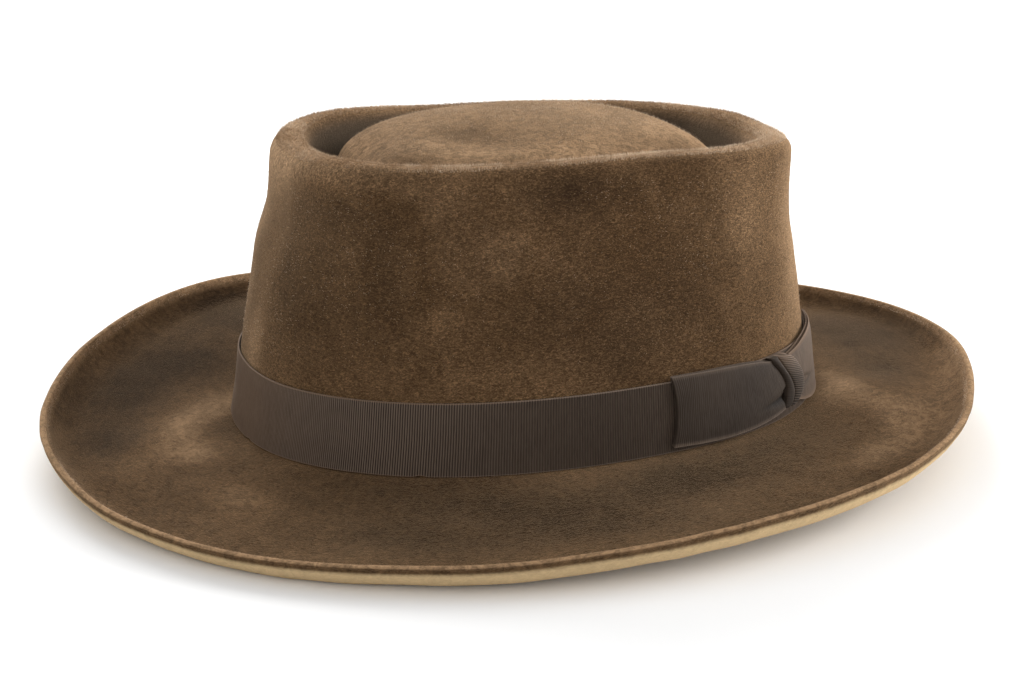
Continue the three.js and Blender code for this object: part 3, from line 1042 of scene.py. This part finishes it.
def mottle_group():
    """Cloudy shade of two sizes, from 0 to 1 about a middle of 0.5."""
    inputs = (("Vector", "Vector", None), ("Large", "Float", 12.0), ("Small", "Float", 45.0))
    tree, given, result = node_group("Cloudy shade", inputs, (("Shade", "Float"),))
    large = noise_value(tree, given.outputs["Vector"], given.outputs["Large"], 2.0, 0.5, 0.8)
    small = noise_value(tree, given.outputs["Vector"], given.outputs["Small"], 3.0, 0.55, 1.0)
    both = maths(tree, "ADD", maths(tree, "MULTIPLY", large, 0.6), maths(tree, "MULTIPLY", small, 0.4))
    tree.links.new(mapped(tree, both, 0.36, 0.64), result.inputs["Shade"])
    return tree


def new_material(name):
    material = bpy.data.materials.new(name)
    material.use_nodes = True
    tree = material.node_tree
    shader = tree.nodes["Principled BSDF"]
    return material, tree, shader

def felt_material(colours, groups):
    """Brushed velour: cloudy dark and light brown with a fine grain and tufts, patches of brushed nap with
    painted light and shade, a painted crest highlight with lifted nap, painted grey shade in the groove, a
    painted shadow line at the cut and painted bounce light on the tan underside."""
    material, tree, shader = new_material("Brown velour felt")
    place = object_place(tree)
    lay = attribute(tree, "lay", "Vector")
    cloud = placed_group(tree, groups["mottle"], Vector=place, Large=16.0, Small=55.0).outputs["Shade"]
    nap = placed_group(tree, groups["grain"], Vector=lay, Stretch=(0.4, 0.4, 1), Scale=2300.0)
    fuzz, streak = nap.outputs["Grain"], nap.outputs["Coarse"]
    tufts = noise_value(tree, place, 300.0, detail=3.0, roughness=0.7, distortion=1.2)
    clump = mapped(tree, tufts, 0.3, 0.7, -0.5, 0.5)
    broken = maths(tree, "ADD", mapped(tree, cloud, 0, 1, 0.7, 1.1), maths(tree, "MULTIPLY", streak, 0.2))
    lighter = weighted(tree, "brushed", broken)
    darker = maths(tree, "MULTIPLY", lighter, -1.0)
    colour = mixed(tree, cloud, colours.dark, colours.middle)
    # Over the cloudy nap: brushed nap with painted light and shade, a painted crest highlight, painted bounce
    # light on the underside, a painted shadow line at the cut and painted shade in the groove
    layers = (
        (lighter, colours.light),
        (darker, colours.flat_nap_and_shade),
        (weighted(tree, "crest_highlight", colours.crest_highlight), colours.light),
        (weighted(tree, "underside_light", 0.9), colours.underside_light),
        (weighted(tree, "cut", 0.55), colours.dark),
        (weighted(tree, "groove", 0.7), colours.groove),
    )
    for share, above in layers:
        colour = mixed(tree, share, colour, above)
    tips = maths(tree, "SUBTRACT", maths(tree, "POWER", fuzz, 2.2), 0.27)
    tone = maths(tree, "MULTIPLY_ADD", tips, weighted(tree, "fine", colours.fuzz), 1.0)
    tone = maths(tree, "MULTIPLY_ADD", clump, weighted(tree, "tuft", colours.clump), tone)
    tree.links.new(scaled(tree, colour, tone), shader.inputs["Base Color"])
    roughen(tree, shader, fuzz, strength=0.6, distance=0.0003)
    set_sockets(shader, {
        "Roughness": 1.0,
        "Specular IOR Level": 0.05,
        "Sheen Weight": colours.sheen,
        "Sheen Roughness": colours.sheen_roughness,
        "Sheen Tint": (*colours.sheen_tint, 1),
    })
    return material


def fibre_material(colours, groups):
    """Loose fibres, lighter than the nap that they stand off with a painted backlight glow."""
    material, tree, shader = new_material("Loose nap")
    place = object_place(tree)
    cloud = placed_group(tree, groups["mottle"], Vector=place, Large=30.0, Small=400.0).outputs["Shade"]
    tree.links.new(mixed(tree, cloud, colours.light, colours.fibre), shader.inputs["Base Color"])
    set_sockets(shader, {"Roughness": 1.0, "Specular IOR Level": 0.1})
    return material


def ribbon_material(colours, groups):
    """Dark grosgrain: a painted highlight along the ribs, light selvedges, painted shade between the ribs,
    and painted warm bounce light from the felt where the painted light of the tone is strongest."""
    material, tree, shader = new_material("Dark grosgrain")
    weave = attribute(tree, "weave", "Vector")
    place = object_place(tree)
    cloud = placed_group(tree, groups["mottle"], Vector=place, Large=20.0, Small=70.0).outputs["Shade"]
    yarn = placed_group(tree, groups["grain"], Vector=weave, Stretch=(1, 0.12, 1), Scale=1400.0)
    yarn = yarn.outputs["Grain"]
    colour = mixed(tree, cloud, colours.dark, colours.middle)
    # Yarn and selvedges, then a painted highlight on the ribs and painted shade between them
    layers = (
        (maths(tree, "MULTIPLY", yarn, 0.3), colours.light),
        (weighted(tree, "selvedge", 0.7), colours.light),
        (weighted(tree, "rib_light_and_shade", 0.95), colours.light),
        (weighted(tree, "rib_light_and_shade", -1.0), colours.rib_gap_shade),
    )
    for share, above in layers:
        colour = mixed(tree, share, colour, above)
    # The tone paints light and shade over the ribbon; where it is lightest, warm bounce light from the felt
    # is painted in
    tone = attribute(tree, "tone")
    bounce_share = mapped(tree, tone, 1.0, 1.6, 0.0, 0.7)
    colour = mixed(tree, bounce_share, scaled(tree, colour, tone), colours.felt_bounce_light)
    tree.links.new(colour, shader.inputs["Base Color"])
    roughen(tree, shader, yarn, strength=0.3, distance=0.0001)
    set_sockets(shader, {
        "Roughness": 0.7,
        "Specular IOR Level": 0.1,
        "Sheen Weight": 0.17,
        "Sheen Roughness": 0.35,
        "Sheen Tint": (1, 0.79, 0.62, 1),
    })
    return material


# Settings that a user would change


def millimetres(name, description, default):
    return FloatProperty(name=name, description=description + ", in mm", default=default)


def colour_of(name, description, default):
    return FloatVectorProperty(name=name, description=description, subtype="COLOR", default=default)


class FeltSizes(bpy.types.PropertyGroup):
    """Sizes of the felt in millimetres"""

    columns: IntProperty(name="Steps round", description="Faces round the hat", default=256)
    thickness: millimetres("Thickness", "Thickness of the felt", 2.2)
    edge_round: millimetres("Edge round", "Bulge of the cut edge", 0.55)
    edge_dip: millimetres("Edge dip", "Dip along the cut edge", 0.35)
    swell_height: millimetres("Swell", "Height of wide swells", 0.45)
    swell_length: millimetres("Swell length", "Size of wide swells", 34)
    ripple_height: millimetres("Ripple", "Height of small swells", 0.22)
    ripple_length: millimetres("Ripple length", "Size of small swells", 11)
    lay_radius: FloatProperty(name="Lay radius", description="Radius of the nap's pattern", default=0.1)
    fibre_width: millimetres("Fibre width", "Half width of a loose fibre", 0.05)
    fibre_stray: FloatProperty(name="Fibre stray", description="How far fibres point at random", default=0.45)
    fibre_rise: FloatProperty(name="Fibre rise", description="How far fibres point up", default=0.35)
    dome_lay: FloatProperty(name="Dome lay", description="Fineness of the nap on the dome", default=1.6)


class FeltColours(bpy.types.PropertyGroup):
    """Colours of the felt"""

    # Nap brushed flat and painted shade, for the darker patches
    flat_nap_and_shade: colour_of("Deep", "Nap brushed flat", (0.018, 0.010, 0.005))
    dark: colour_of("Dark", "Dark nap", (0.070, 0.039, 0.018))
    middle: colour_of("Middle", "Plain nap", (0.122, 0.071, 0.035))
    # Lifted nap, also the colour of the painted highlights on the lighter patches, the crest and the fibres
    light: colour_of("Light", "Lifted nap", (0.31, 0.195, 0.108))
    # Painted grey shade for the groove
    groove: colour_of("Groove", "Nap in the groove", (0.078, 0.065, 0.051))
    # Painted backlight glow of the loose fibres
    fibre: colour_of("Fibre", "Loose fibres", (0.74, 0.57, 0.41))
    # Painted bounce light on the underside near the edge
    underside_light: colour_of("Under", "Underside", (0.57, 0.42, 0.235))
    sheen_tint: colour_of("Sheen", "Nap's sheen", (1, 0.68, 0.40))
    sheen: FloatProperty(name="Sheen weight", description="Strength of the sheen", default=0.3)
    sheen_roughness: FloatProperty(name="Sheen roughness", description="Spread of the sheen", default=0.32)
    fuzz: FloatProperty(name="Fuzz", description="Contrast of the nap's tips", default=1.45)
    clump: FloatProperty(name="Clumps", description="Contrast of the nap's tufts", default=0.75)
    # Painted highlight, partly lifted nap, along the rim's top and the cut edge
    crest_highlight: FloatProperty(name="Crest", description="How light the rim and the edge are", default=0.84)


class RibbonSizes(bpy.types.PropertyGroup):
    """Sizes of the ribbon in millimetres"""

    width: millimetres("Width", "Width of the ribbon", 22.6)
    thickness: millimetres("Thickness", "Thickness of the ribbon", 0.45)
    rib_pitch: millimetres("Rib pitch", "From rib to rib", 0.77)
    rib_depth: millimetres("Rib depth", "Height of a rib", 0.24)
    selvedge: millimetres("Selvedge", "Width of the selvedge", 0.3)
    selvedge_rise: millimetres("Selvedge rise", "Height of the selvedge", 0.06)
    edge_scallop: millimetres("Edge scallop", "Reach of the edge's loops", 0.12)
    band_low: millimetres("Band low", "Band's lower edge above the break", 0.35)
    edge_flare: millimetres("Edge flare", "Band's lower edge off the felt", 0.2)
    edge_wave: millimetres("Edge wave", "Wander of the edges", 0.35)
    edge_loose: millimetres("Loose edge", "Upper edge off the felt", 0.12)
    inner_rise: millimetres("Inner rise", "Inner layer above the outer", 0.15)
    inner_low: millimetres("Inner low", "Inner layer's lower edge up", 0.7)
    loop_crown: millimetres("Loop crown", "Crown of the loop's face", 0.5)
    lip: millimetres("Lip", "Turned lower lip of a loop", 0.35)
    fold_hollow: millimetres("Fold hollow", "Curve of a loop's fold", 1.6)
    knot_foot: millimetres("Knot foot", "Knot's edges off the felt", 3.1)
    knot_fold: millimetres("Knot fold", "Height of the knot's fold", 1.1)
    knot_face: millimetres("Knot face", "Height of the knot's wide face", 1.4)
    rib_slant: FloatProperty(
        name="Rib slant", description="Slant of the knot's ribs, in mm a degree", default=0.35
    )


class RibbonColours(bpy.types.PropertyGroup):
    """Colours of the ribbon"""

    # Painted shade between the ribs
    rib_gap_shade: colour_of("Valley", "Between ribs", (0.008, 0.005, 0.004))
    dark: colour_of("Dark", "Dark ribs", (0.058, 0.040, 0.029))
    middle: colour_of("Middle", "Ribs", (0.084, 0.058, 0.041))
    # Selvedges and yarn, and the painted highlight on the ribs
    light: colour_of("Light", "Selvedge", (0.17, 0.128, 0.098))
    # Painted bounce light from the felt
    felt_bounce_light: colour_of("Warm", "Lit by felt", (0.12, 0.075, 0.046))


class StageSettings(bpy.types.PropertyGroup):
    """Floor and light"""

    floor: colour_of("Floor", "Colour of the floor", (0.92, 0.92, 0.92))
    world: FloatProperty(name="World", description="Strength of the pale surround", default=0.85)
    back: FloatProperty(name="Back", description="Power of the softbox behind", subtype="POWER", default=45)
    right: FloatProperty(
        name="Right", description="Power of the softbox on the right", subtype="POWER", default=36
    )
    flat_radius: FloatProperty(
        name="Flat floor", description="Radius of the flat floor", unit="LENGTH", default=2.2
    )


# Operators


class HAT_OT_felt_body(bpy.types.Operator):
    """Make the felt body with its crown and brim"""

    bl_idname = "hat.felt_body"
    bl_label = "Felt body"

    def execute(self, context):
        settings = context.scene
        material = felt_material(settings.felt_colours, shared_groups())
        finish_piece(felt_mesh(settings.felt_sizes), "felt_shell", material, ["felt_body"])
        return {"FINISHED"}


class HAT_OT_loose_fibres(bpy.types.Operator):
    """Make the loose fibres that stand off the felt"""

    bl_idname = "hat.loose_fibres"
    bl_label = "Loose fibres"

    def execute(self, context):
        settings = context.scene
        material = fibre_material(settings.felt_colours, shared_groups())
        finish_piece(fibre_mesh(settings.felt_sizes), "loose_nap", material, ["felt_body"])
        return {"FINISHED"}


class HAT_OT_bow(bpy.types.Operator):
    """Make the bow's two loops and its knot"""

    bl_idname = "hat.bow"
    bl_label = "Bow"

    def execute(self, context):
        sizes = context.scene.ribbon_sizes
        material = grosgrain(context)
        front = loop_mesh(FRONT_LOOP, -1, FRONT_GATHER, FRONT_LOOP_PAINTED_LIGHT, sizes)
        front = finish_piece(front, "front_bow_loop", material, ["bow_front_loop"])
        back = loop_mesh(BACK_LOOP, 1, BACK_GATHER, BACK_LOOP_PAINTED_LIGHT, sizes)
        back = finish_piece(back, "back_bow_loop", material, ["bow_back_loop"])
        finish_piece(knot_mesh(sizes), "bow_wrap", material, ["bow_knot"])
        return {"FINISHED"}


class HAT_OT_ribbon_band(bpy.types.Operator):
    """Make the ribbon round the crown, after the bow that lies on it"""

    bl_idname = "hat.ribbon_band"
    bl_label = "Ribbon band"

    def execute(self, context):
        band = band_mesh(context.scene.ribbon_sizes)
        band = finish_piece(band, "grosgrain_band", grosgrain(context), ["ribbon_band"])
        return {"FINISHED"}


def shared_groups():
    names = {"grain": ("Fine grain", grain_group), "mottle": ("Cloudy shade", mottle_group)}
    return {key: bpy.data.node_groups.get(name) or make() for key, (name, make) in names.items()}


def grosgrain(context):
    made = bpy.data.materials.get("Dark grosgrain")
    return made or ribbon_material(context.scene.ribbon_colours, shared_groups())


def spun_floor(radius, material):
    """A floor that is flat out to a radius and then curves up like a bowl."""
    rise = radius * 0.9
    rise_steps, round_steps = 12, 64
    bm = bmesh.new()
    profile = [bm.verts.new((0, 0, 0)), bm.verts.new((radius, 0, 0))]
    for k in range(1, rise_steps + 1):
        a = math.pi / 2 * k / rise_steps
        profile.append(bm.verts.new((radius + rise * math.sin(a), 0, rise * (1 - math.cos(a)))))
    edges = [bm.edges.new(pair) for pair in zip(profile, profile[1:])]
    full_turn = {"cent": (0, 0, 0), "axis": (0, 0, 1), "angle": 2 * math.pi, "use_merge": True}
    bmesh.ops.spin(bm, geom=profile + edges, steps=round_steps, **full_turn)
    bmesh.ops.remove_doubles(bm, verts=bm.verts, dist=1e-6)
    new_object(bm, "floor", material)


class HAT_OT_stage(bpy.types.Operator):
    """Make the camera, the pale floor and the soft light"""

    bl_idname = "hat.stage"
    bl_label = "Stage"

    def execute(self, context):
        scene = context.scene
        settings = scene.stage_settings
        make_camera(scene)
        material, _, shader = new_material("Pale floor")
        set_sockets(shader, {"Base Color": (*settings.floor, 1), "Roughness": 0.9})
        spun_floor(settings.flat_radius, material)
        scene.world = bpy.data.worlds.new("Pale surround")
        scene.world.use_nodes = True
        surround = scene.world.node_tree.nodes["Background"]
        surround.inputs["Color"].default_value = (1, 1, 1, 1)
        surround.inputs["Strength"].default_value = settings.world
        add_softbox("softbox_behind", BACK_LIGHT, settings.back)
        add_softbox("softbox_right", RIGHT_LIGHT, settings.right)
        scene.view_settings.view_transform = "Standard"
        return {"FINISHED"}


def add_softbox(name, box, power):
    """A round area light that looks at the crown."""
    light = bpy.data.lights.new(name, "AREA")
    light.shape = "DISK"
    light.size = box["size"]
    light.energy = power
    lamp = bpy.data.objects.new(name, light)
    lamp.location = box["place"]
    lamp.rotation_euler = (LIGHTS_AIM - box["place"]).to_track_quat("-Z", "Y").to_euler()
    bpy.context.scene.collection.objects.link(lamp)


def make_camera(scene):
    data = bpy.data.cameras.new("camera")
    data.sensor_width = 36
    data.lens = CAMERA_LENS
    data.clip_start, data.clip_end = 0.01, 50
    camera = bpy.data.objects.new("camera", data)
    floor_point = Vector((AXIS.x, AXIS.y, 0))
    look = (CAMERA_AIM - CAMERA_PLACE).normalized()
    turn = look.to_track_quat("-Z", "Y").to_matrix() @ Matrix.Rotation(math.radians(CAMERA_ROLL), 3, "Z")
    camera.matrix_world = Matrix.Translation(floor_point + CAMERA_PLACE * MM) @ turn.to_4x4()
    scene.collection.objects.link(camera)
    scene.camera = camera


class HAT_PT_maker(bpy.types.Panel):
    """The hat's pieces"""

    bl_label = "Velour felt hat"
    bl_space_type = "VIEW_3D"
    bl_region_type = "UI"
    bl_category = "Hat"

    def draw(self, context):
        for operator in OPERATORS:
            self.layout.operator(operator.bl_idname)
        for group in SETTINGS:
            settings = getattr(context.scene, group)
            box = self.layout.box()
            for name in settings.bl_rna.properties.keys():
                if name not in ("rna_type", "name"):
                    box.prop(settings, name)


OPERATORS = (HAT_OT_stage, HAT_OT_felt_body, HAT_OT_loose_fibres, HAT_OT_bow, HAT_OT_ribbon_band)
SETTINGS = {
    "felt_sizes": FeltSizes,
    "felt_colours": FeltColours,
    "ribbon_sizes": RibbonSizes,
    "ribbon_colours": RibbonColours,
    "stage_settings": StageSettings,
}


def register():
    for name, group in SETTINGS.items():
        bpy.utils.register_class(group)
        setattr(bpy.types.Scene, name, PointerProperty(type=group))
    for made in (*OPERATORS, HAT_PT_maker):
        bpy.utils.register_class(made)


def unregister():
    for made in (HAT_PT_maker, *reversed(OPERATORS)):
        bpy.utils.unregister_class(made)
    for name, group in SETTINGS.items():
        delattr(bpy.types.Scene, name)
        bpy.utils.unregister_class(group)


def main():
    register()
    bpy.ops.hat.stage()
    bpy.ops.hat.felt_body()
    bpy.ops.hat.loose_fibres()
    bpy.ops.hat.bow()
    bpy.ops.hat.ribbon_band()


if __name__ == "__main__":
    main()
